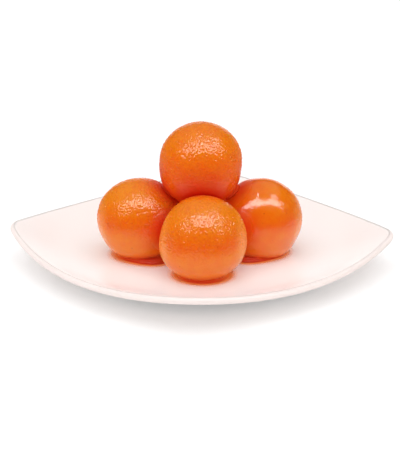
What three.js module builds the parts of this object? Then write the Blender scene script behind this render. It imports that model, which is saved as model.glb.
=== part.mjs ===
// Gulab jamun: five soft, soaked dough balls piled on a square white plate.
// Millimetres, +Z up, with the front of the pile towards -Y. The origin is on the
// table, under the middle of the plate, and the plate's corners lie on the X and Y axes.
import * as THREE from 'three';

const { degToRad } = THREE.MathUtils;

const touchGap = 0.3; // clear space left between two pieces that touch

// ---------------------------------------------------------------- driving sizes

const plateSize = {
  cornerReach: 100, // from the middle to each corner
  sideReach: 87, // from the middle to the middle of each bulging side
  cornerRadius: 18,
  floorHeight: 6, // from the table up to the flat floor that the sweets sit on
  floorThickness: 4,
  floorRadius: 48,
  wellRadius: 86, // the curve that lifts the floor into the rim
  rimSlope: degToRad(22),
  lipThickness: 3.3,
  footHeight: 2,
  footOuter: 38,
  footInner: 33,
  footDraft: 0.6, // how far each side of the foot leans in
};

const pileTurn = degToRad(4); // the pile sits turned by this much on the plate

// Each sweet: its middle on the plate, the height of that middle above the floor, its
// diameters, its sagging belly, which swells it by a share of its radius round one
// angle below the middle, and how far single places stand proud of the round.
const sweets = {
  front: {
    across: 0.3, back: -30.7, rise: 18.7,
    width: 44, depth: 44, height: 44.2,
    belly: 0.041, bellyAngle: degToRad(-21),
    swells: { rightShoulder: 1.1, crown: 0.25, leftShoulder: -0.8, leftFlank: -0.25, rightFlank: 0.2 },
  },
  left: {
    across: -31.5, back: -1, rise: 18.9,
    width: 44.4, depth: 44.6, height: 42.6,
    belly: 0.02, bellyAngle: degToRad(-46),
    swells: { leftShoulder: 0.8, crown: 0.2, leftFlank: -0.2, back: 0.5 },
  },
  right: {
    across: 31.3, back: 2.2, rise: 18.3,
    width: 43, depth: 43.4, height: 41.7,
    belly: 0.069, bellyAngle: degToRad(-53),
    swells: { rightShoulder: 0.25, crown: 0.35, back: -0.5 },
  },
  back: {
    across: -1.5, back: 29.6, rise: 18.4,
    width: 43.6, depth: 44, height: 42.6,
    belly: 0.045, bellyAngle: degToRad(-40),
    swells: { leftFlank: 0.4, rightFlank: -0.3, back: 0.5 },
  },
  top: {
    across: 0.1, back: -0.6, rise: 49,
    width: 43, depth: 43.2, height: 44.4,
    belly: 0.046, bellyAngle: degToRad(-33),
    swells: { rightShoulder: 0.45, crown: -0.35, leftShoulder: 0.5, rightFlank: -1, back: 0.4 },
  },
};
const bellySpread = degToRad(19);
const swellSpread = degToRad(38);
const swellPlaces = {
  rightShoulder: aroundFront(25),
  crown: aroundFront(90),
  leftShoulder: aroundFront(155),
  leftFlank: aroundFront(205),
  rightFlank: aroundFront(335),
  back: new THREE.Vector3(0.3, 0.9, 0.3).normalize(),
};

const pressedEdge = 1.4; // how softly a pressed flat turns into the round
const sphereTurns = 36;
const sphereRows = 20;

// A direction round a sweet's outline, in degrees from its right over its crown.
function aroundFront(degrees) {
  return new THREE.Vector3(Math.cos(degToRad(degrees)), 0, Math.sin(degToRad(degrees)));
}

// ---------------------------------------------------------------- plate

// A long arc forms each side and a short one each corner, and they meet without a kink.
const cornerSetIn = plateSize.cornerReach - plateSize.cornerRadius;
const sideLessCorner = plateSize.sideReach - plateSize.cornerRadius;
const sideSetback = (cornerSetIn ** 2 - sideLessCorner ** 2)
  / (2 * sideLessCorner - Math.SQRT2 * cornerSetIn);
const sideArc = {
  centre: new THREE.Vector2(-sideSetback, -sideSetback).multiplyScalar(Math.SQRT1_2),
  radius: sideSetback + plateSize.sideReach,
};
const cornerArc = {
  centre: new THREE.Vector2(cornerSetIn, 0),
  radius: plateSize.cornerRadius,
};
const cornerEnd = cornerArc.centre.clone().sub(sideArc.centre)
  .setLength(sideArc.radius).add(sideArc.centre).angle();

// How far along a ray from the middle the arc lies.
function rayToArc(angle, arc) {
  const along = arc.centre.x * Math.cos(angle) + arc.centre.y * Math.sin(angle);
  return along + Math.sqrt(along ** 2 - arc.centre.lengthSq() + arc.radius ** 2);
}

// How far the plate reaches at an angle round its middle.
function plateReach(angle) {
  const quarter = Math.PI / 2;
  const fromCorner = Math.abs(angle - quarter * Math.round(angle / quarter));
  return rayToArc(fromCorner, fromCorner < cornerEnd ? cornerArc : sideArc);
}

// Height of the plate's upper face: a flat floor, a hollow curve, then a straight rim.
function upperFace(radius) {
  const { floorHeight, floorRadius, wellRadius, rimSlope } = plateSize;
  const curveRun = wellRadius * Math.sin(rimSlope);
  const onCurve = THREE.MathUtils.clamp(radius - floorRadius, 0, curveRun);
  const onRim = Math.max(radius - floorRadius - curveRun, 0);
  const curveRise = wellRadius - Math.sqrt(wellRadius ** 2 - onCurve ** 2);
  return floorHeight + curveRise + onRim * Math.tan(rimSlope);
}

// Half the plate's section along one ray, from the middle of the floor over the lip
// and the foot to the middle of the underside. Every ray gives as many points.
function plateSection(reach) {
  const { floorRadius, floorHeight, floorThickness, lipThickness, rimSlope } = plateSize;
  const { footOuter, footInner, footHeight, footDraft } = plateSize;
  const section = [];
  const add = (radius, height) => section.push(new THREE.Vector2(radius, height));
  const lipRadius = lipThickness / 2;
  const lipCentre = reach - lipRadius;
  const wellSteps = 7;
  const lipSteps = 5;

  add(0, floorHeight);
  add(footOuter, floorHeight);
  for (let step = 0; step <= wellSteps; step += 1) {
    const radius = THREE.MathUtils.lerp(floorRadius, lipCentre, step / wellSteps);
    add(radius, upperFace(radius));
  }
  const lipHeight = upperFace(lipCentre) - lipRadius / Math.cos(rimSlope);
  for (let step = 1; step <= lipSteps; step += 1) {
    const turn = Math.PI / 2 + rimSlope - Math.PI * (step / lipSteps);
    add(lipCentre + lipRadius * Math.cos(turn), lipHeight + lipRadius * Math.sin(turn));
  }
  const underRim = (radius) => {
    const outward = (radius - floorRadius) / (lipCentre - floorRadius);
    return upperFace(radius) - THREE.MathUtils.lerp(floorThickness, lipThickness, outward);
  };
  for (let step = 1; step <= wellSteps; step += 1) {
    const radius = THREE.MathUtils.lerp(lipCentre, floorRadius, step / wellSteps);
    add(radius, underRim(radius));
  }
  add(footOuter, footHeight);
  add(footOuter - footDraft, 0);
  add(footInner + footDraft, 0);
  add(footInner, footHeight);
  add(0, footHeight);
  return section;
}

function makePlate() {
  const turns = 96;
  const crowding = 0.72; // draws the turned steps towards the corners
  const geometry = new THREE.LatheGeometry(plateSection(plateSize.cornerReach), turns);
  const places = geometry.attributes.position;
  const pointsPerRay = places.count / (turns + 1);
  for (let turn = 0; turn <= turns; turn += 1) {
    const even = 2 * Math.PI * (turn / turns);
    const angle = even - (crowding * Math.sin(4 * even)) / 4;
    plateSection(plateReach(angle)).forEach(({ x: radius, y: height }, point) => {
      places.setXYZ(
        turn * pointsPerRay + point,
        radius * Math.cos(angle),
        radius * Math.sin(angle),
        height,
      );
    });
  }
  // The rays now run anticlockwise seen from above, against the lathe's own sense.
  geometry.index.array.reverse();
  geometry.computeVertexNormals();
  return geometry;
}

// ---------------------------------------------------------------- sweets

function sweetCentre({ across, back, rise }) {
  return new THREE.Vector3(across, back, plateSize.floorHeight + rise);
}

// Distance from a sweet's middle to its free surface along a unit direction.
function freeReach(sweet, direction) {
  const { x, y, z } = direction;
  const egg = 1 / Math.hypot(x / (sweet.width / 2), y / (sweet.depth / 2), z / (sweet.height / 2));
  const below = (Math.asin(z) - sweet.bellyAngle) / bellySpread;
  let reach = egg * (1 + sweet.belly * Math.exp(-(below ** 2)));
  for (const [place, swell] of Object.entries(sweet.swells)) {
    const away = direction.angleTo(swellPlaces[place]) / swellSpread;
    reach += swell * Math.exp(-(away ** 2));
  }
  return reach;
}

// The flats that the floor and the neighbours press into a sweet, each as a direction
// and the distance of its plane from the sweet's middle.
function pressedFlats(name) {
  const sweet = sweets[name];
  const centre = sweetCentre(sweet);
  const flats = [];
  for (const [otherName, other] of Object.entries(sweets)) {
    if (otherName === name) continue;
    const towards = sweetCentre(other).sub(centre);
    const apart = towards.length();
    towards.normalize();
    const own = freeReach(sweet, towards);
    const others = freeReach(other, towards.clone().negate());
    flats.push({ towards, distance: (apart + own - others - touchGap) / 2 });
  }
  const sitsOnFloor = sweet.rise < sweet.height / 2;
  if (sitsOnFloor) {
    flats.push({ towards: new THREE.Vector3(0, 0, -1), distance: sweet.rise - touchGap });
  }
  return flats;
}

// The lesser of two lengths, rounded off where they are nearly equal.
function softLesser(a, b) {
  const blend = Math.max(pressedEdge - Math.abs(a - b), 0) / pressedEdge;
  return Math.min(a, b) - (blend ** 2 * pressedEdge) / 4;
}

function makeSweet(name) {
  const geometry = new THREE.SphereGeometry(1, sphereTurns, sphereRows).rotateX(Math.PI / 2);
  const places = geometry.attributes.position;
  const flats = pressedFlats(name);
  const direction = new THREE.Vector3();
  for (let point = 0; point < places.count; point += 1) {
    direction.fromBufferAttribute(places, point).normalize();
    let reach = freeReach(sweets[name], direction);
    for (const { towards, distance } of flats) {
      const facing = direction.dot(towards);
      if (facing > 0) reach = softLesser(reach, distance / facing);
    }
    places.setXYZ(point, ...direction.multiplyScalar(reach));
  }
  geometry.computeVertexNormals();
  return geometry;
}

// ---------------------------------------------------------------- assembly

const glaze = new THREE.MeshStandardMaterial({ color: 0xfff3ee, roughness: 0.12, metalness: 0 });
const soakedCrust = new THREE.MeshStandardMaterial({ color: 0xe8661a, roughness: 0.28, metalness: 0 });

const gulabJamun = new THREE.Group();

const plate = new THREE.Mesh(makePlate(), glaze);
plate.name = 'plate';
gulabJamun.add(plate);

const pile = new THREE.Group();
pile.rotation.z = pileTurn;
gulabJamun.add(pile);

for (const name of Object.keys(sweets)) {
  const sweet = new THREE.Mesh(makeSweet(name), soakedCrust);
  sweet.name = `jamun_${name}`;
  sweet.position.copy(sweetCentre(sweets[name]));
  pile.add(sweet);
}

export default gulabJamun;
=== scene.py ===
"""Gulab jamun: five soaked dough balls, piled on a square white plate, and their syrup.

Metres, +Z up, with the front of the pile towards -Y. The origin is on the table, under
the middle of the plate, and the plate's corners lie on the X and Y axes.
"""

import math

import bpy
import numpy as np
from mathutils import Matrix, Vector, noise


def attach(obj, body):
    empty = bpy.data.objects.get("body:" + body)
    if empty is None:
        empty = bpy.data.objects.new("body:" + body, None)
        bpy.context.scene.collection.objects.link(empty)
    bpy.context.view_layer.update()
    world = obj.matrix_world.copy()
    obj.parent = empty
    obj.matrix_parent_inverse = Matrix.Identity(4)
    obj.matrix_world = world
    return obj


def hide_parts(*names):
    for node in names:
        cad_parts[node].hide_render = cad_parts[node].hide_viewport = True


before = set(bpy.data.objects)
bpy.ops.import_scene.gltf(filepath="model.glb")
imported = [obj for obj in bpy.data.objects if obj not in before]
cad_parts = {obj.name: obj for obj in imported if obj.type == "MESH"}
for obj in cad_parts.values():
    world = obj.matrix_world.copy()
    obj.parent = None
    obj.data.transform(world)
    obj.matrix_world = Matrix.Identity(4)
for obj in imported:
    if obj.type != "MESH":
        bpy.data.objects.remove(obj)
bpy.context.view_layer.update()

MM = 0.001
TAU = 2 * math.pi

# ------------------------------------------------------------------ sizes

TOUCH_GAP = 0.3 * MM  # clear space left between two pieces that touch
PILE_TURN = math.radians(4)  # the pile sits turned by this much on the plate

PLATE = {
    "corner_reach": 100 * MM,
    "side_reach": 87 * MM,
    "corner_radius": 18 * MM,
    "floor_height": 6 * MM,  # from the table up to the floor that the sweets sit on
    "floor_thickness": 4 * MM,
    "floor_radius": 48 * MM,
    "well_radius": 86 * MM,  # the curve that lifts the floor into the rim
    "rim_slope": math.radians(22),
    "lip_thickness": 3.3 * MM,
    "foot_height": 2 * MM,
    "foot_outer": 38 * MM,
    "foot_inner": 33 * MM,
    "foot_draft": 0.6 * MM,  # how far each side of the foot leans in
}

# In millimetres and degrees: where each sweet's middle is, across, back and up from the
# middle of the plate's floor, its diameters, how much its sagging belly swells it and at
# which angle, and how far single places stand proud of the round.
SWEETS = {
    "front": {
        "middle": (0.3, -30.7, 18.7),
        "diameters": (44, 44, 44.2),
        "belly": (0.041, -21),
        "swells": {
            "right_shoulder": 1.1, "crown": 0.25, "left_shoulder": -0.8,
            "left_flank": -0.25, "right_flank": 0.2,
        },
    },
    "left": {
        "middle": (-31.5, -1, 18.9),
        "diameters": (44.4, 44.6, 42.6),
        "belly": (0.02, -46),
        "swells": {"left_shoulder": 0.8, "crown": 0.2, "left_flank": -0.2, "back": 0.5},
    },
    "right": {
        "middle": (31.3, 2.2, 18.3),
        "diameters": (43, 43.4, 41.7),
        "belly": (0.069, -53),
        "swells": {"right_shoulder": 0.25, "crown": 0.35, "back": -0.5},
    },
    "back": {
        "middle": (-1.5, 29.6, 18.4),
        "diameters": (43.6, 44, 42.6),
        "belly": (0.045, -40),
        "swells": {"left_flank": 0.4, "right_flank": -0.3, "back": 0.5},
    },
    "top": {
        "middle": (0.1, -0.6, 49),
        "diameters": (43, 43.2, 44.4),
        "belly": (0.046, -33),
        "swells": {
            "right_shoulder": 0.45, "crown": -0.35, "left_shoulder": 0.5,
            "right_flank": -1, "back": 0.4,
        },
    },
}
BELLY_SPREAD = math.radians(19)
SWELL_SPREAD = math.radians(38)
PRESSED_EDGE = 1.4 * MM  # how softly a pressed flat turns into the round


def round_front(degrees):
    """A direction round a sweet's outline, in degrees from its right over its crown."""
    return np.array([math.cos(math.radians(degrees)), 0, math.sin(math.radians(degrees))])


SWELL_PLACES = {
    "right_shoulder": round_front(25),
    "crown": round_front(90),
    "left_shoulder": round_front(155),
    "left_flank": round_front(205),
    "right_flank": round_front(335),
    "back": np.array([0.3, 0.9, 0.3]) / math.hypot(0.3, 0.9, 0.3),
}

# ------------------------------------------------------------------ finishes


class Value:
    """A value that varies over a surface: a socket that can be used in sums."""

    def __init__(self, tree, socket):
        self.tree = tree
        self.socket = socket

    def _with(self, operation, *values):
        return self.tree.node("ShaderNodeMath", {"operation": operation}, dict(enumerate(values)))

    def __add__(self, other):
        return self._with("ADD", self, other)

    def __sub__(self, other):
        return self._with("SUBTRACT", self, other)

    def __rsub__(self, other):
        return self._with("SUBTRACT", other, self)

    def __mul__(self, other):
        return self._with("MULTIPLY", self, other)

    __radd__ = __add__
    __rmul__ = __mul__


class Tree:
    """A node tree that is filled through one method."""

    def __init__(self, tree):
        self.tree = tree

    def node(self, kind, settings=None, sockets=None, output=0):
        """Adds a node, sets its settings, then its sockets, and gives one of its outputs."""
        made = self.tree.nodes.new(kind)
        for name, value in (settings or {}).items():
            if name == "stops":
                self._fill_ramp(made.color_ramp, value)
            else:
                setattr(made, name, value)
        for name, value in (sockets or {}).items():
            self.feed(made.inputs[name], value)
        return Value(self, made.outputs[output])

    def feed(self, socket, value):
        if isinstance(value, Value):
            self.tree.links.new(value.socket, socket)
        else:
            socket.default_value = value

    @staticmethod
    def _fill_ramp(ramp, stops):
        while len(ramp.elements) < len(stops):
            ramp.elements.new(1)
        for element, (place, level) in zip(ramp.elements, stops):
            element.position = place
            element.color = (level, level, level, 1)

    def ramp(self, value, *stops):
        """The level that value comes to, on straight lines between stops of value, level."""
        return self.node("ShaderNodeValToRGB", {"stops": stops}, {"Fac": value})

    def mix(self, share, a, b):
        """Colour a, with a share of colour b laid over it."""
        return self.node("ShaderNodeMix", {"data_type": "RGBA"}, {0: share, 6: a, 7: b}, output=2)


class Finish(Tree):
    """A material on one Principled shader, patterned in the part's own frame."""

    def __init__(self, name, **constants):
        self.material = bpy.data.materials.new(name)
        self.material.use_nodes = True
        super().__init__(self.material.node_tree)
        self.shader = self.tree.nodes["Principled BSDF"]
        self.place = self.node("ShaderNodeTexCoord", output="Object")
        for socket, value in constants.items():
            self.shader.inputs[socket.replace("_", " ")].default_value = value

    def put(self, socket, value):
        self.feed(self.shader.inputs[socket], value)

    def noise(self, size, detail):
        """Cloudy noise whose blotches are about as wide as size, from 0 to 1."""
        sockets = {"Vector": self.place, "Scale": 1 / size, "Detail": detail}
        return self.node("ShaderNodeTexNoise", None, sockets)

    def cells(self, size):
        """Distance to the middle of the nearest of cells about as wide as size."""
        sockets = {"Vector": self.place, "Scale": 1 / size}
        return self.node("ShaderNodeTexVoronoi", None, sockets, output="Distance")

    def attribute(self, name):
        """A value that is stored at the points of the mesh."""
        return self.node("ShaderNodeAttribute", {"attribute_name": name}, output="Fac")

    def bump(self, height, depth):
        """Raises the surface by height, a value from 0 to 1, times depth in metres."""
        sockets = {"Distance": depth, "Height": height}
        self.put("Normal", self.node("ShaderNodeBump", None, sockets))


def soaked_crust():
    """Fried dough skin, steeped through: orange, finely wrinkled, under a film of syrup.
    Its colour holds painted light: paler and yellower at the crown, where light falls from
    above; a painted reflection of the pale plate low down and at the flanks; painted shade
    in the creases; and red both where syrup gathers and as painted shade where the sweets
    meet."""
    finish = Finish(
        "soaked_crust",
        IOR=1.45,
        Subsurface_Weight=0.25,
        Subsurface_Radius=(1.0, 0.15, 0.03),
        Subsurface_Scale=3 * MM,
        Coat_Roughness=0.05,
        Coat_IOR=1.42,
    )
    crease = finish.attribute("crease")
    pore = finish.attribute("pore")
    film = finish.attribute("film")
    pale = finish.attribute("pale")
    soaked = finish.attribute("soaked")
    milky = finish.attribute("milky")
    mottle = finish.noise(5 * MM, detail=3)
    grain = finish.noise(0.8 * MM, detail=2)
    orange = (0.76, 0.096, 0.0005, 1)
    golden = (0.78, 0.235, 0.004, 1)
    crease_shade_orange = (0.70, 0.075, 0.0005, 1)
    red = (0.64, 0.010, 0.0005, 1)
    reflected_peach = (0.86, 0.24, 0.045, 1)
    brown = (0.36, 0.02, 0.001, 1)
    # painted light and reflection: paleness towards golden, with random mottle on top
    light_and_mottle = pale * 0.8 + finish.ramp(mottle, (0.35, 0.0), (0.68, 1.0)) * 0.2
    colour = finish.mix(light_and_mottle, orange, golden)
    # painted shade: the creases between the pebbles are darkened
    colour = finish.mix(crease * 0.47, colour, crease_shade_orange)
    colour = finish.mix(finish.ramp(grain, (0.45, 0.0), (0.75, 0.2)), colour, golden)
    # painted reflection of the pale plate and surroundings, in peach
    colour = finish.mix(milky, colour, reflected_peach)
    # red of gathered syrup, and painted shade where the sweets meet
    colour = finish.mix(soaked, colour, red)
    finish.put("Base Color", finish.mix(pore * 0.8, colour, brown))
    sodden = finish.ramp(soaked, (0.3, 0.0), (0.6, 1.0))
    finish.put("Roughness", 0.10 + grain * 0.08 + crease * 0.06 + sodden * 0.3)
    finish.put("Coat Weight", film)
    finish.bump(finish.noise(0.6 * MM, detail=1) * (1.1 - film), 0.015 * MM)
    return finish.material


def plate_glaze():
    """Warm white porcelain under a clear glaze, with the faint waviness of a fired surface
    and a few specks. It is whitest in the middle, and round the lip it is painted darker
    and rosier, as shade."""
    finish = Finish("plate_glaze", IOR=1.36, Specular_IOR_Level=0.35, Coat_Weight=0.03,
                    Coat_Roughness=0.06)
    bare = finish.attribute("bare")
    lip = finish.attribute("lip")
    mid = finish.attribute("mid")
    cloud = finish.noise(30 * MM, detail=2)
    speck = finish.ramp(finish.cells(5 * MM), (0.0, 1.0), (0.022, 0.0))
    white = (0.95, 0.925, 0.91, 1)
    warm_white = (0.95, 0.885, 0.862, 1)
    creamy = (0.95, 0.874, 0.846, 1)
    shaded_rosy = (0.87, 0.76, 0.725, 1)
    brown = (0.55, 0.45, 0.38, 1)
    colour = finish.mix(finish.ramp(cloud, (0.3, 0.0), (0.75, 1.0)), warm_white, creamy)
    colour = finish.mix(mid, colour, white)
    colour = finish.mix(speck * 0.35, colour, brown)
    # painted shade: round the lip the glaze is darkened towards rosy
    finish.put("Base Color", finish.mix(lip, colour, shaded_rosy))
    finish.put("Roughness", 0.20 + cloud * 0.06 + bare * 0.4 + lip * 0.1)
    waves = finish.noise(7 * MM, detail=1) + finish.noise(1.1 * MM, detail=1) * 0.12
    finish.bump(waves, 0.05 * MM)
    return finish.material


def syrup_finish(name, gloss):
    """Thick sugar syrup: red, ruby where it is deep, orange where it clings to a sweet,
    amber where it is thin, and ever clearer towards its edge on the plate. Where it is held
    between two sweets it leans a little towards ruby as painted shade."""
    finish = Finish(
        name,
        IOR=1.46,
        Specular_IOR_Level=gloss,
        Roughness=0.25,
        Subsurface_Weight=0.15,
        Subsurface_Radius=(1.0, 0.25, 0.05),
        Subsurface_Scale=1.5 * MM,
    )
    cling = finish.attribute("cling")
    edge = finish.attribute("edge")
    thin = finish.attribute("thin")
    deep = finish.attribute("deep")
    red = (0.70, 0.062, 0.014, 1)
    ruby = (0.48, 0.020, 0.008, 1)
    orange = (0.75, 0.100, 0.001, 1)
    amber = (0.93, 0.29, 0.045, 1)
    colour = finish.mix(deep * 0.8, red, ruby)
    colour = finish.mix(finish.ramp(cling, (0.1, 0.0), (0.9, 1.0)), colour, orange)
    colour = finish.mix(thin, colour, amber)
    spread = finish.ramp(edge, (0.0, 0.0), (0.25, 1.0))
    finish.put("Base Color", finish.mix(spread, colour, amber))
    cover = finish.ramp(edge, (0.0, 1.0), (0.15, 0.92), (0.4, 0.6), (0.65, 0.22), (1.0, 0.0))
    finish.put("Alpha", cover)
    finish.bump(finish.noise(2.5 * MM, detail=1), 0.03 * MM)
    return finish.material


def matt_floor():
    """A plain pale table."""
    finish = Finish("matt_floor", Roughness=0.9, Specular_IOR_Level=0.1)
    pale = (0.96, 0.96, 0.96, 1)
    paler = (0.98, 0.98, 0.98, 1)
    finish.put("Base Color", finish.mix(finish.noise(400 * MM, detail=1), pale, paler))
    return finish.material


# ------------------------------------------------------------------ meshes


def make_piece(name, points, faces, material, shades=None):
    """A smooth mesh from arrays of points and faces, with named values at its points."""
    mesh = bpy.data.meshes.new(name)
    mesh.from_pydata(points, [], faces)
    for shade, values in (shades or {}).items():
        layer = mesh.attributes.new(shade, "FLOAT", "POINT")
        layer.data.foreach_set("value", np.asarray(values, np.float32))
    mesh.materials.append(material)
    mesh.shade_smooth()
    piece = bpy.data.objects.new(name, mesh)
    bpy.context.scene.collection.objects.link(piece)
    return piece


def ring_faces(turns, steps, closed):
    """Quads between rings of points: as many rings as turns, of as many points as steps,
    with the last ring joined to the first. Where closed, so are each ring's own ends."""
    turn, step = np.meshgrid(np.arange(turns), np.arange(steps if closed else steps - 1),
                             indexing="ij")
    after, beside = (turn + 1) % turns, (step + 1) % steps
    quads = [turn * steps + step, after * steps + step,
             after * steps + beside, turn * steps + beside]
    return np.stack(quads, -1).reshape(-1, 4).tolist()


def cell_distance(point):
    """Distance to the middle of the nearest of cells about as wide as 1."""
    return noise.voronoi(point)[0][0]


def field(points, size, pattern=noise.noise):
    """A pattern that is about as wide as 1, scaled to size, at each point."""
    return np.array([pattern(point) for point in (points / size).tolist()])


def straight_step(value, start, end):
    """0 up to start, 1 from end on, and a straight rise between them."""
    return min(max((value - start) / (end - start), 0), 1)


def soft_step(values, start, end):
    """0 up to start, 1 from end on, and a smooth rise between them."""
    share = np.clip((values - start) / (end - start), 0, 1)
    return share**2 * (3 - 2 * share)


# ------------------------------------------------------------------ plate

QUARTER = math.pi / 2
FOOT_ROUND = 0.7 * MM  # radius of the foot's edges
UNGLAZED = 0.2 * MM  # the foot is bare of glaze up to this height
WHITEST = (60 * MM, 85 * MM)  # the plate is whitest up to one radius and not past another
# How many points each stretch of the plate's section has.
SECTION_POINTS = {"floor": 12, "rim": 34, "lip": 14, "under": 20, "edge": 5, "foot": 8}

# A long arc forms each side and a short one each corner, and they meet without a kink.
CORNER_SET_IN = PLATE["corner_reach"] - PLATE["corner_radius"]
SIDE_LESS_CORNER = PLATE["side_reach"] - PLATE["corner_radius"]
SIDE_SETBACK = (CORNER_SET_IN**2 - SIDE_LESS_CORNER**2) / (
    2 * SIDE_LESS_CORNER - math.sqrt(2) * CORNER_SET_IN)
SIDE_CENTRE = -SIDE_SETBACK * math.sqrt(0.5)  # its x and its y alike
SIDE_RADIUS = SIDE_SETBACK + PLATE["side_reach"]
SIDE_TO_CORNER = SIDE_RADIUS / math.hypot(CORNER_SET_IN - SIDE_CENTRE, SIDE_CENTRE)
CORNER_END = math.atan2(SIDE_CENTRE * (1 - SIDE_TO_CORNER),
                        SIDE_CENTRE + (CORNER_SET_IN - SIDE_CENTRE) * SIDE_TO_CORNER)


def ray_to_arc(angle, x, y, radius):
    """How far along a ray from the middle an arc about x, y lies."""
    along = x * math.cos(angle) + y * math.sin(angle)
    return along + math.sqrt(along**2 - x**2 - y**2 + radius**2)


def plate_reach(angle):
    """How far the plate reaches at an angle round its middle."""
    from_corner = abs(angle - QUARTER * round(angle / QUARTER))
    if from_corner < CORNER_END:
        return ray_to_arc(from_corner, CORNER_SET_IN, 0, PLATE["corner_radius"])
    return ray_to_arc(from_corner, SIDE_CENTRE, SIDE_CENTRE, SIDE_RADIUS)


def upper_face(radius):
    """Height of the plate's upper face: a flat floor, a hollow curve, then a straight rim."""
    curve_run = PLATE["well_radius"] * math.sin(PLATE["rim_slope"])
    on_curve = min(max(radius - PLATE["floor_radius"], 0), curve_run)
    on_rim = max(radius - PLATE["floor_radius"] - curve_run, 0)
    rise = PLATE["well_radius"] - math.sqrt(PLATE["well_radius"]**2 - on_curve**2)
    return PLATE["floor_height"] + rise + on_rim * math.tan(PLATE["rim_slope"])


def arc(x, y, radius, start, end, count):
    """Points on an arc about x, y, from one angle to another."""
    return [(x + radius * math.cos(turn), y + radius * math.sin(turn))
            for turn in np.linspace(start, end, count)]


def plate_section(reach):
    """Half the plate's section along one ray, from the floor over the lip and the foot to
    the underside. With it come how bare of glaze each point is, and how much it belongs
    to the lip and to the middle."""
    floor_radius, slope = PLATE["floor_radius"], PLATE["rim_slope"]
    outer, inner, foot = PLATE["foot_outer"], PLATE["foot_inner"], PLATE["foot_height"]
    draft, edge, count = PLATE["foot_draft"], FOOT_ROUND, SECTION_POINTS
    lip_radius = PLATE["lip_thickness"] / 2
    lip_centre = reach - lip_radius
    lip_height = upper_face(lip_centre) - lip_radius / math.cos(slope)

    floor = np.linspace(0, floor_radius, count["floor"])[1:-1]
    rim = np.linspace(floor_radius, lip_centre, count["rim"])
    section = [(r, PLATE["floor_height"]) for r in floor]
    section += [(r, upper_face(r)) for r in rim]
    section += arc(lip_centre, lip_height, lip_radius, QUARTER + slope, slope - QUARTER,
                   count["lip"])[1:]
    for r in np.linspace(lip_centre, floor_radius, count["under"])[1:]:
        outward = (r - floor_radius) / (lip_centre - floor_radius)
        thickness = PLATE["floor_thickness"] + outward * (
            PLATE["lip_thickness"] - PLATE["floor_thickness"])
        section.append((r, upper_face(r) - thickness))
    section.append((outer + 4 * MM, foot + 0.02 * MM))  # keeps the underside flat to here
    section += arc(outer + edge, foot - edge, edge, QUARTER, 2 * QUARTER, count["edge"])
    section += arc(outer - draft - edge, edge, edge, 0, -QUARTER, count["edge"])
    section += arc(inner + draft + edge, edge, edge, -QUARTER, -2 * QUARTER, count["edge"])
    section += arc(inner - edge, foot - edge, edge, 0, QUARTER, count["edge"])
    section += [(r, foot) for r in np.linspace(inner - edge, 0, count["foot"])[1:-1]]

    bare = [float(height < UNGLAZED) for _, height in section]
    # the lip's share, where the glaze is painted darker as shade
    lip = [float(soft_step(r, lip_centre - lip_radius, reach)) for r, _ in section]
    mid = [float(1 - soft_step(r, *WHITEST)) for r, _ in section]
    return section, {"bare": bare, "lip": lip, "mid": mid}


def make_plate():
    turns = 480
    crowding = 0.72  # draws the rays towards the corners
    rings = []
    shades = {"bare": [], "lip": [], "mid": []}
    for even in np.linspace(0, TAU, turns, endpoint=False):
        angle = even - crowding * math.sin(4 * even) / 4
        section, section_shades = plate_section(plate_reach(angle))
        rings += [(r * math.cos(angle), r * math.sin(angle), z) for r, z in section]
        for name, values in section_shades.items():
            shades[name] += values
    steps = len(rings) // turns
    faces = [face[::-1] for face in ring_faces(turns, steps, closed=False)]
    # One point closes the floor and one the underside.
    floor_middle, under_middle = len(rings), len(rings) + 1
    rings += [(0, 0, PLATE["floor_height"]), (0, 0, PLATE["foot_height"])]
    for name, values in shades.items():
        values += [float(name == "mid")] * 2
    for turn in range(turns):
        here, after = turn * steps, (turn + 1) % turns * steps
        faces.append((here, after, floor_middle))
        faces.append((after + steps - 1, here + steps - 1, under_middle))
    plate = make_piece("glazed_plate", rings, faces, plate_glaze(), shades)
    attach(plate, "root")
    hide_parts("plate")


# ------------------------------------------------------------------ sweets


def sweet_middle(name):
    across, back, rise = SWEETS[name]["middle"]
    return np.array([across * MM, back * MM, rise * MM + PLATE["floor_height"]])


def sits_on_plate(name):
    return SWEETS[name]["middle"][2] < SWEETS[name]["diameters"][2] / 2


def turned(spot):
    """Where a place in the pile's own frame comes to once the pile is turned."""
    x, y, z = spot
    return (x * math.cos(PILE_TURN) - y * math.sin(PILE_TURN),
            x * math.sin(PILE_TURN) + y * math.cos(PILE_TURN), z)


def free_reach(name, ways):
    """Distance from a sweet's middle to its free surface, along each unit direction."""
    sweet = SWEETS[name]
    radii = np.array(sweet["diameters"]) * MM / 2
    egg = 1 / np.linalg.norm(ways / radii, axis=1)
    share, angle = sweet["belly"]
    below = (np.arcsin(np.clip(ways[:, 2], -1, 1)) - math.radians(angle)) / BELLY_SPREAD
    reach = egg * (1 + share * np.exp(-(below**2)))
    for place, swell in sweet["swells"].items():
        away = np.arccos(np.clip(ways @ SWELL_PLACES[place], -1, 1)) / SWELL_SPREAD
        reach += swell * MM * np.exp(-(away**2))
    return reach


def pressed_flats(name):
    """Direction and distance of each flat that a neighbour or the floor presses in."""
    flats = []
    for other in SWEETS:
        if other == name:
            continue
        towards = sweet_middle(other) - sweet_middle(name)
        apart = np.linalg.norm(towards)
        towards /= apart
        own = free_reach(name, towards[None])[0]
        others = free_reach(other, -towards[None])[0]
        flats.append((towards, (apart + own - others - TOUCH_GAP) / 2))
    if sits_on_plate(name):
        flats.append((np.array([0, 0, -1.0]), SWEETS[name]["middle"][2] * MM - TOUCH_GAP))
    return flats


def soft_lesser(a, b, edge=PRESSED_EDGE):
    """The lesser of two lengths, rounded off where they differ by less than edge."""
    blend = np.maximum(edge - np.abs(a - b), 0) / edge
    return np.minimum(a, b) - blend**2 * edge / 4


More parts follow.
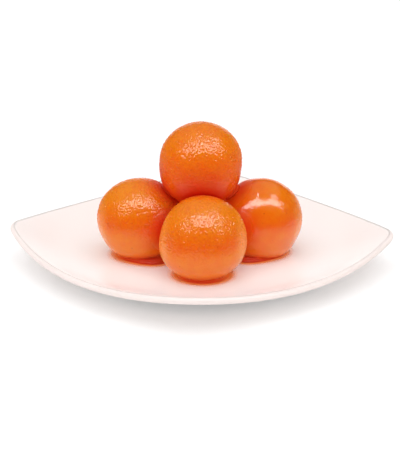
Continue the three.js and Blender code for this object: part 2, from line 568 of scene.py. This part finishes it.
def even_ways(count):
    """Unit directions to the points of a cube whose six sides have count by count quads,
    spread evenly as seen from its middle, and the quads."""
    across = np.tan(np.linspace(-math.pi / 4, math.pi / 4, count + 1))
    u, v = np.meshgrid(across, across, indexing="ij")
    one = np.ones_like(u)
    sides = [(one, u, v), (-one, v, u), (v, one, u), (u, -one, v), (u, v, one), (v, u, -one)]
    ways = np.concatenate([np.stack(side, -1).reshape(-1, 3) for side in sides])
    ways /= np.linalg.norm(ways, axis=1)[:, None]
    corner = (np.arange(count)[:, None] * (count + 1) + np.arange(count)).reshape(-1)
    quad = np.stack([corner, corner + count + 1, corner + count + 2, corner + 1], -1)
    quads = np.concatenate([quad + side * (count + 1) ** 2 for side in range(6)])
    _, first, joined = np.unique(np.round(ways, 6), axis=0, return_index=True,
                                 return_inverse=True)
    return ways[first], joined.reshape(-1)[quads]


# Each sweet's skin: how strongly it is wrinkled, and how much more so on its right, how
# thick its film of syrup is, how pale it is, which scales the painted light at its crown
# and the painted reflection low down, and a shift that gives it its own pattern.
SKINS = {
    "front": {"wrinkled": 2.25, "film": 0.15, "pale": 0.9, "shift": 11 * MM},
    "left": {"wrinkled": 2.0, "film": 0.1, "pale": 1.05, "shift": 23 * MM},
    "right": {"wrinkled": 0.35, "more": 1.4, "film": 0.5, "pale": 0.65, "shift": 37 * MM},
    "back": {"wrinkled": 1.6, "film": 0.3, "pale": 0.8, "shift": 71 * MM},
    "top": {"wrinkled": 2.2, "film": 0.12, "pale": 0.8, "shift": 53 * MM},
}
# Width and depth of each kind of unevenness in the skin. Runs of syrup are as deep as this
# in a full film, and folds, ridges and pebbles where the skin is wrinkled by 1.
LUMP_WIDTH, LUMP_DEPTH = 8 * MM, 0.12 * MM
PORE_SPACING, PORE_DEPTH = 6 * MM, 0.14 * MM
RUN_WIDTH, RUN_DEPTH = 4 * MM, 0.2 * MM
FOLD_WIDTH, FOLD_DEPTH = 2.2 * MM, 0.12 * MM
RIDGE_WIDTH, RIDGE_DEPTH = 1.15 * MM, 0.14 * MM
PEBBLE_WIDTH, PEBBLE_DEPTH = 1.1 * MM, 0.12 * MM
PORE_SHARE = 0.085  # radius of a pore, as a share of the spacing
PATCH_WIDTH = 14 * MM  # of patches with deeper wrinkles and less syrup
WARP_WIDTH, WARP_REACH = 3 * MM, 1 * MM  # how widely and how far the wrinkles are bent
LEVELLING = np.array([1, 1, 1.7])  # makes folds and ridges run more level than upright

# How far the red reaches over a sweet from the plate, further up from it over a pool, from
# a sweet beside it, from the one above it and from those below it. It is partly syrup that
# has gathered there and partly painted shade where the sweets meet each other and the plate.
REDDENING = {"foot": 2.6 * MM, "pool": 4 * MM, "side": 4.5 * MM, "above": 5 * MM, "below": 7.5 * MM}
# The directions, in degrees, in which syrup has pooled between the sweets.
POOLS = {"left": (-50, 42), "right": (-130, 140), "back": (-44, -137)}


def wrinkled_skin(name, ways, reach):
    """Height of the skin's relief along each direction, how strongly its creases are painted
    with shade, how deep its pores are, and how thick its film of syrup is. The syrup fills
    the wrinkles lower down."""
    skin = SKINS[name]
    flank = soft_step(np.abs(ways[:, 0]), 0.55, 0.9)
    strength = skin["wrinkled"] + skin.get("more", 0) * soft_step(ways[:, 0], 0.25, 0.9)
    strength = strength * (1 + 0.6 * flank)
    bare = 0.25 + 0.75 * soft_step(ways[:, 2], -0.35, 0.1)

    spots = ways * reach[:, None] + skin["shift"] * np.array([1, -1, 0.5])
    warp = np.stack([field(spots + axis * 31 * MM, WARP_WIDTH) for axis in range(3)], -1)
    bent = spots + warp * WARP_REACH
    level = bent * LEVELLING
    lumps = field(spots, LUMP_WIDTH)
    runs = field(spots, RUN_WIDTH)
    folds = np.abs(field(level, FOLD_WIDTH))
    ridges = np.abs(field(level + 17 * MM, RIDGE_WIDTH))
    pebbles = field(bent, PEBBLE_WIDTH, cell_distance)
    pore = np.clip(1 - field(spots, PORE_SPACING, cell_distance) / PORE_SHARE, 0, 1)
    patch = np.clip(0.5 + 1.6 * field(spots, PATCH_WIDTH), 0, 1)

    wrinkles = FOLD_DEPTH * folds + RIDGE_DEPTH * ridges + PEBBLE_DEPTH * pebbles**2
    relief = LUMP_DEPTH * lumps + RUN_DEPTH * skin["film"] * runs - PORE_DEPTH * pore
    relief -= strength * bare * (0.75 + 0.25 * patch) * wrinkles
    # painted shade in the creases between the pebbles, also used to roughen them
    crease = np.clip(1.25 * pebbles - 0.25, 0, 1) * bare
    crease *= np.minimum(strength, 1) * (1 - 0.3 * flank)
    film = skin["film"] * (1 - 0.5 * patch) + 0.12 * (1 - bare)
    return relief, crease, pore, film


def skin_tones(name, ways):
    """How much painted light pales the skin, and how much painted reflection of the pale
    surroundings lies over it, along each direction. Every sweet is paled by light from above
    at its crown and has a faint painted reflection at its flanks. Those that sit on the
    plate have both at the flanks and low down, where the plate's reflection is painted."""
    flank = np.abs(ways[:, 0])
    # painted light: paler at the crown, where light falls from above
    pale = SKINS[name]["pale"] * soft_step(ways[:, 2], -0.05, 0.8)
    # painted reflection: a faint peach at every sweet's flanks
    milky = 0.25 * soft_step(flank, 0.72, 1.0)
    if sits_on_plate(name):
        # painted reflection of the pale plate: paler low down and at the flanks
        pale += 0.65 * SKINS[name]["pale"] * soft_step(-ways[:, 2], -0.15, 0.2)
        pale += 0.7 * soft_step(flank, 0.7, 0.97)
        # painted reflection of the plate in peach, low down and, stronger, at the flanks
        milky = np.maximum(soft_step(-ways[:, 2], 0.5, 0.7), 3 * milky)
    return pale, milky


def pressed_side(rise):
    """Which side of a sweet a flat is on, by how steeply its direction rises."""
    if rise < -0.9:
        return "foot"
    if rise < -0.3:
        return "below"
    return "above" if rise > 0.3 else "side"


def pressed_skin(name, ways, reach):
    """A sweet's reach once the floor and its neighbours have pressed into it, and how far it
    is reddened beside them, partly by the syrup held there and partly as painted shade."""
    reach = reach.copy()
    soaked = np.zeros(len(ways))
    around = np.arctan2(ways[:, 1], ways[:, 0])
    for towards, distance in pressed_flats(name):
        side = pressed_side(towards[2])
        depth = np.full(len(ways), REDDENING[side])
        if side == "foot":
            for pool in POOLS.get(name, ()):
                depth += REDDENING["pool"] * np.maximum(np.cos(around - math.radians(pool)), 0) ** 2
        facing = ways @ towards
        met = facing > 0
        plane = distance / facing[met]
        clear = np.maximum(plane - reach[met], 0)
        reach[met] = soft_lesser(reach[met], plane)
        # reddening by held syrup and by painted shade, fading away from each flat
        soaked[met] = np.maximum(soaked[met], np.exp(-clear / depth[met]))
    return reach, soaked


def make_sweet(name, ways, quads, crust):
    round_reach = free_reach(name, ways)
    relief, crease, pore, film = wrinkled_skin(name, ways, round_reach)
    reach, soaked = pressed_skin(name, ways, round_reach + relief)
    pale, milky = skin_tones(name, ways)
    shades = {
        "crease": crease,
        "pore": pore,
        "film": film * (1 - soft_step(soaked, 0.3, 0.6)),
        "pale": pale,
        "soaked": soaked,
        "milky": milky,
    }
    spots = ways * reach[:, None] + sweet_middle(name)
    places = np.stack(turned(spots.T), -1)
    piece = make_piece(f"soaked_{name}", places.tolist(), quads.tolist(), crust, shades)
    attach(piece, "root")
    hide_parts(f"jamun_{name}")


def make_sweets():
    ways, quads = even_ways(count=115)
    crust = soaked_crust()
    for name in SWEETS:
        make_sweet(name, ways, quads, crust)


# ------------------------------------------------------------------ syrup

# How far the syrup reaches round each sweet's foot, and how far it has slid sideways.
PUDDLES = {
    "front": {"radius": 13.8 * MM, "slid": 0.6 * MM},
    "left": {"radius": 12.9 * MM, "slid": -0.4 * MM},
    "right": {"radius": 12.9 * MM, "slid": 0.2 * MM},
    "back": {"radius": 13.1 * MM, "slid": 0},
}
POOL_REACH = 7 * MM  # how much further it reaches where it has pooled
NARROWED = 1.2 * MM  # how much less it reaches to the left and the right
WAVER = 0.03  # how uneven its outline is, as a share of its radius
# The syrup climbs the sweet as a skirt, which leans in, and flares out at the bottom into
# a thin film on the plate.
SKIRT = {"top": 2.0 * MM, "lean": 0.15, "fillet": 1.0 * MM, "flare": 0.9 * MM,
         "flare_height": 1 * MM}
FILM = {"width": 5.0 * MM, "height": 0.3 * MM}
SUNK = 0.1 * MM  # how far the skirt lies inside the sweet where it meets its skin
HIDDEN = 0.5 * MM  # how far inside the sweet the syrup's edges are hidden
OFF_PLATE = 0.02 * MM  # keeps the film clear of the plate
OUTLINE_POINTS = {"skirt": 18, "film": 12}


def sweet_wall(name, angle):
    """A function that gives a sweet's radius at a height over the plate's floor, at one
    angle round it. It holds for the part of the sweet that syrup can reach."""
    tilts = np.radians(np.linspace(-75, -15, 61))
    ways = np.stack([np.cos(tilts) * math.cos(angle), np.cos(tilts) * math.sin(angle),
                     np.sin(tilts)], -1)
    spots = ways * free_reach(name, ways)[:, None]
    heights = spots[:, 2] + SWEETS[name]["middle"][2] * MM
    radii = np.hypot(spots[:, 0], spots[:, 1])
    return lambda height: np.interp(height, heights, radii)


def puddle_outline(wall, reach):
    """A puddle's section from a sweet's skin down to the plate and back under the sweet:
    radius, height, how close it clings to the skin, and how near it is to the edge."""
    top, film_height = SKIRT["top"], FILM["height"]
    skirt = []
    for height in np.linspace(top, film_height, OUTLINE_POINTS["skirt"]):
        flare = max(1 - (height - film_height) / SKIRT["flare_height"], 0) ** 2
        flank = reach - SKIRT["lean"] * height + SKIRT["flare"] * flare
        skin = wall(height) - SUNK
        close = 1 - straight_step(flank - skin, 0, 1 * MM)
        cling = close * straight_step(height, 1 * MM, 2.4 * MM)
        skirt.append((-soft_lesser(-flank, -skin, SKIRT["fillet"]), height, cling, 0))
    film = []
    for edge in np.linspace(0.04, 1, OUTLINE_POINTS["film"]):
        radius = reach + SKIRT["flare"] + FILM["width"] * edge
        film.append((radius, film_height * (1 - edge) ** 2, 0, edge))
    tuck = top * 1.2
    hidden_top = (wall(tuck) - HIDDEN, tuck, skirt[0][2], 0)
    hidden_foot = (wall(0) - HIDDEN, 0, 0, 1)
    return [hidden_top, *skirt, *film, hidden_foot]


def make_puddle(name, syrup):
    """The syrup that has run down a sweet and gathered round its foot."""
    turns = 220
    radius, slid = PUDDLES[name]["radius"], PUDDLES[name]["slid"]
    middle = sweet_middle(name)[:2]
    rings = []
    shades = {"cling": [], "edge": [], "thin": [], "deep": []}
    for angle in np.linspace(0, TAU, turns, endpoint=False):
        way = np.array([math.cos(angle), math.sin(angle)])
        waver = noise.noise(Vector((way[0] * 1.3, way[1] * 1.3, radius / MM)))
        pooled = sum(max(math.cos(angle - math.radians(pool)), 0) ** 4
                     for pool in POOLS.get(name, ()))
        reach = radius * (1 + WAVER * waver) + slid * way[0] - NARROWED * way[0] ** 2
        reach += POOL_REACH * pooled
        for r, height, cling, edge in puddle_outline(sweet_wall(name, angle), reach):
            x, y = middle + r * way
            rings.append(turned((x, y, upper_face(math.hypot(x, y)) + OFF_PLATE + height)))
            shades["cling"].append(cling)
            shades["edge"].append(edge)
            shades["thin"].append(0.8 * way[0] ** 4)
            shades["deep"].append(min(pooled, 1))
    steps = len(rings) // turns
    faces = [face[::-1] for face in ring_faces(turns, steps, closed=True)]
    puddle = make_piece(f"syrup_{name}", rings, faces, syrup, shades)
    puddle.visible_shadow = False
    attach(puddle, "root")


def make_neck(one, other, syrup):
    """A ring of syrup held in the narrow gap round the place where two sweets meet. Its
    section is an arc that touches both of them, with its ends a little inside them."""
    turns, arc_points, ring_radius = 72, 9, 5 * MM
    past_touch = 0.25  # how far the arc runs on at both ends, in radians
    start, end = sweet_middle(one), sweet_middle(other)
    apart = np.linalg.norm(end - start)
    axis = (end - start) / apart
    side = np.cross(axis, (0, 0, 1) if abs(axis[2]) < 0.9 else (1, 0, 0))
    side /= np.linalg.norm(side)
    angles = np.linspace(0, TAU, turns, endpoint=False)[:, None]
    outs = np.cos(angles) * side + np.sin(angles) * np.cross(axis, side)
    skew = ring_radius / (apart / 2)
    near = free_reach(one, (axis + skew * outs) / math.hypot(1, skew))
    far = free_reach(other, (-axis + skew * outs) / math.hypot(1, skew))
    fillet = math.hypot(ring_radius, apart / 2) - (near.mean() + far.mean()) / 2
    rings = []
    for out, to_near, to_far in zip(outs, near + fillet, far + fillet):
        along = (apart**2 + to_near**2 - to_far**2) / (2 * apart)
        off = math.sqrt(to_near**2 - along**2)
        first, last = math.atan2(-off, -along), math.atan2(-off, apart - along)
        for turn in np.linspace(first - past_touch, last + past_touch, arc_points):
            spot = start + (along + fillet * math.cos(turn)) * axis
            rings.append(turned(spot + (off + fillet * math.sin(turn)) * out))
    faces = ring_faces(turns, arc_points, closed=True)
    # painted shade: the syrup held where two sweets meet is darkened a little towards ruby
    shades = {"deep": [0.15] * len(rings)}
    neck = make_piece(f"syrup_{one}_{other}", rings, faces, syrup, shades)
    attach(neck, "root")


def make_syrup():
    syrup = syrup_finish("syrup", gloss=0.2)
    held_syrup = syrup_finish("held_syrup", gloss=0.0)
    for name in PUDDLES:
        make_puddle(name, syrup)
    for name in PUDDLES:
        make_neck(name, "top", held_syrup)
    for one, other in (("front", "left"), ("front", "right"), ("left", "back"), ("right", "back")):
        make_neck(one, other, held_syrup)


# ------------------------------------------------------------------ floor, light and camera

VIEW_TURN = math.radians(4)  # how far round to the right of the plate the camera stands
VIEW_RISE = math.radians(20.5)
VIEW_DISTANCE = 1.1  # from the middle of the plate's floor
PICTURE = (400, 457)  # width and height in pixels
AIM = (201.0, 252.4)  # the pixel on which the middle of the plate's floor falls
FOCAL_PIXELS = 2101  # the focal length
CEILING = 2.2  # height of the lamps over the plate
LAMP_TURN = math.radians(11)


def make_floor():
    half = 6.0
    corners = [(-half, -half, 0), (half, -half, 0), (half, half, 0), (-half, half, 0)]
    floor = make_piece("table", corners, [(0, 1, 2, 3)], matt_floor())
    floor.location.z = -0.02 * MM  # just clear of the plate's foot
    floor.visible_glossy = False


def make_camera():
    back = Vector((math.sin(VIEW_TURN) * math.cos(VIEW_RISE),
                   -math.cos(VIEW_TURN) * math.cos(VIEW_RISE), math.sin(VIEW_RISE)))
    lens = bpy.data.cameras.new("camera")
    lens.sensor_width = 36
    lens.lens = FOCAL_PIXELS * lens.sensor_width / max(PICTURE)
    lens.shift_x = (PICTURE[0] / 2 - AIM[0]) / max(PICTURE)
    lens.shift_y = (AIM[1] - PICTURE[1] / 2) / max(PICTURE)
    lens.clip_start, lens.clip_end = 0.05, 30
    camera = bpy.data.objects.new("camera", lens)
    camera.location = Vector((0, 0, PLATE["floor_height"])) + back * VIEW_DISTANCE
    camera.rotation_mode = "QUATERNION"
    camera.rotation_quaternion = back.to_track_quat("Z", "Y")
    bpy.context.scene.collection.objects.link(camera)
    bpy.context.scene.camera = camera


def make_panel(name, spot, size, radiance, facing, gloss, diffuse, shadow=True):
    """A flat lamp of that size and brightness, and whether gloss and matt surfaces see it.
    It faces a place, or straight down where it is only turned by an angle."""
    lamp = bpy.data.lights.new(name, "AREA")
    lamp.shape = "RECTANGLE"
    lamp.size, lamp.size_y = size
    lamp.use_shadow = shadow
    lamp.energy = radiance * math.pi * size[0] * size[1]
    panel = bpy.data.objects.new(name, lamp)
    panel.location = spot
    if isinstance(facing, float):
        panel.rotation_euler = (0, 0, facing)
    else:
        panel.rotation_mode = "QUATERNION"
        panel.rotation_quaternion = (Vector(spot) - Vector(facing)).to_track_quat("Z", "Y")
    panel.visible_camera = False
    panel.visible_glossy = gloss
    panel.visible_diffuse = diffuse
    bpy.context.scene.collection.objects.link(panel)


def make_gloss_lights():
    """Lamps that only gloss shows: over the front of the plate a long one with two short
    arms behind it, which give the sweets their bright streaks, a faint wide one further
    back, and one that stands upright behind the plate and lights its far rim."""
    across = Vector((math.cos(LAMP_TURN), math.sin(LAMP_TURN), 0))
    along = Vector((-math.sin(LAMP_TURN), math.cos(LAMP_TURN), 0))
    strip = Vector((0.03, -0.45, 1)) * CEILING
    veil = Vector((-0.35, 0.75, 1)) * CEILING
    left_arm = strip + (across * -0.08 + along * 0.33) * CEILING
    right_arm = strip + (across * 0.62 + along * 0.33) * CEILING
    # Where each is, its width and depth as shares of the ceiling's height, and its radiance.
    lamps = {
        "strip": (strip, (2.8, 0.3), 8.5),
        "left_arm": (left_arm, (0.08, 0.42), 8.5),
        "right_arm": (right_arm, (0.3, 0.42), 4.5),
        "veil": (veil, (2.2, 1.7), 0.3),
    }
    for name, (spot, (width, depth), radiance) in lamps.items():
        make_panel(name, spot, (width * CEILING, depth * CEILING), radiance, LAMP_TURN,
                   gloss=True, diffuse=False)
    make_panel("backdrop", (0, 3.4, 0.5), (2.4, 1), 0.9, (0, 0, 0.8), gloss=True, diffuse=False)


def make_soft_lights():
    """Wide even light from above, from all sides and faintly from below. Only the first
    lamp casts shadows."""
    make_panel("ceiling", (0, -0.3, 2.4), (4.4, 4.4), 0.3, 0.0, gloss=False, diffuse=True)
    make_panel("ceiling_fill", (0, -0.3, 2.6), (4.8, 4.8), 1.24, 0.0, gloss=False, diffuse=True,
               shadow=False)
    wall_distance, wall_height, wall_size, wall_aim = 3.2, 1.1, (6, 2.2), (0, 0, 0.6)
    walls = {"right_wall": (1, 0, 1.25), "back_wall": (0, 1, 1.05),
             "left_wall": (-1, 0, 1.35), "front_wall": (0, -1, 1.32)}
    for name, (x, y, radiance) in walls.items():
        make_panel(name, (wall_distance * x, wall_distance * y, wall_height), wall_size,
                   radiance, wall_aim, gloss=False, diffuse=True, shadow=False)
    make_panel("glow", (0, 0, -1.5), (4, 4), 0.35, (0, 0, 0), gloss=False, diffuse=True,
               shadow=False)


def make_surroundings():
    """What gloss shows where there is no lamp: a pale table, brightest straight behind the
    plate, and a dark room above it."""
    world = bpy.data.worlds.new("studio")
    world.use_nodes = True
    bpy.context.scene.world = world
    sky = Tree(world.node_tree)
    ray = sky.node("ShaderNodeTexCoord", output="Generated")
    rise = sky.node("ShaderNodeSeparateXYZ", None, {0: ray}, output="Z") * 0.5 + 0.5
    back = sky.node("ShaderNodeSeparateXYZ", None, {0: ray}, output="Y") * 0.5 + 0.5
    low = sky.ramp(rise, (0.36, 0.6), (0.44, 0.4), (0.5, 0.35), (0.54, 0.02))
    tone = low * sky.ramp(back, (0.1, 0.08), (0.4, 0.18), (0.92, 0.2), (0.97, 1.0)) * 3
    sky.feed(world.node_tree.nodes["Background"].inputs["Color"], tone)


# ------------------------------------------------------------------ the scene

make_camera()
make_plate()
make_sweets()
make_syrup()
make_floor()
make_gloss_lights()
make_soft_lights()
make_surroundings()
bpy.context.scene.view_settings.view_transform = "Standard"
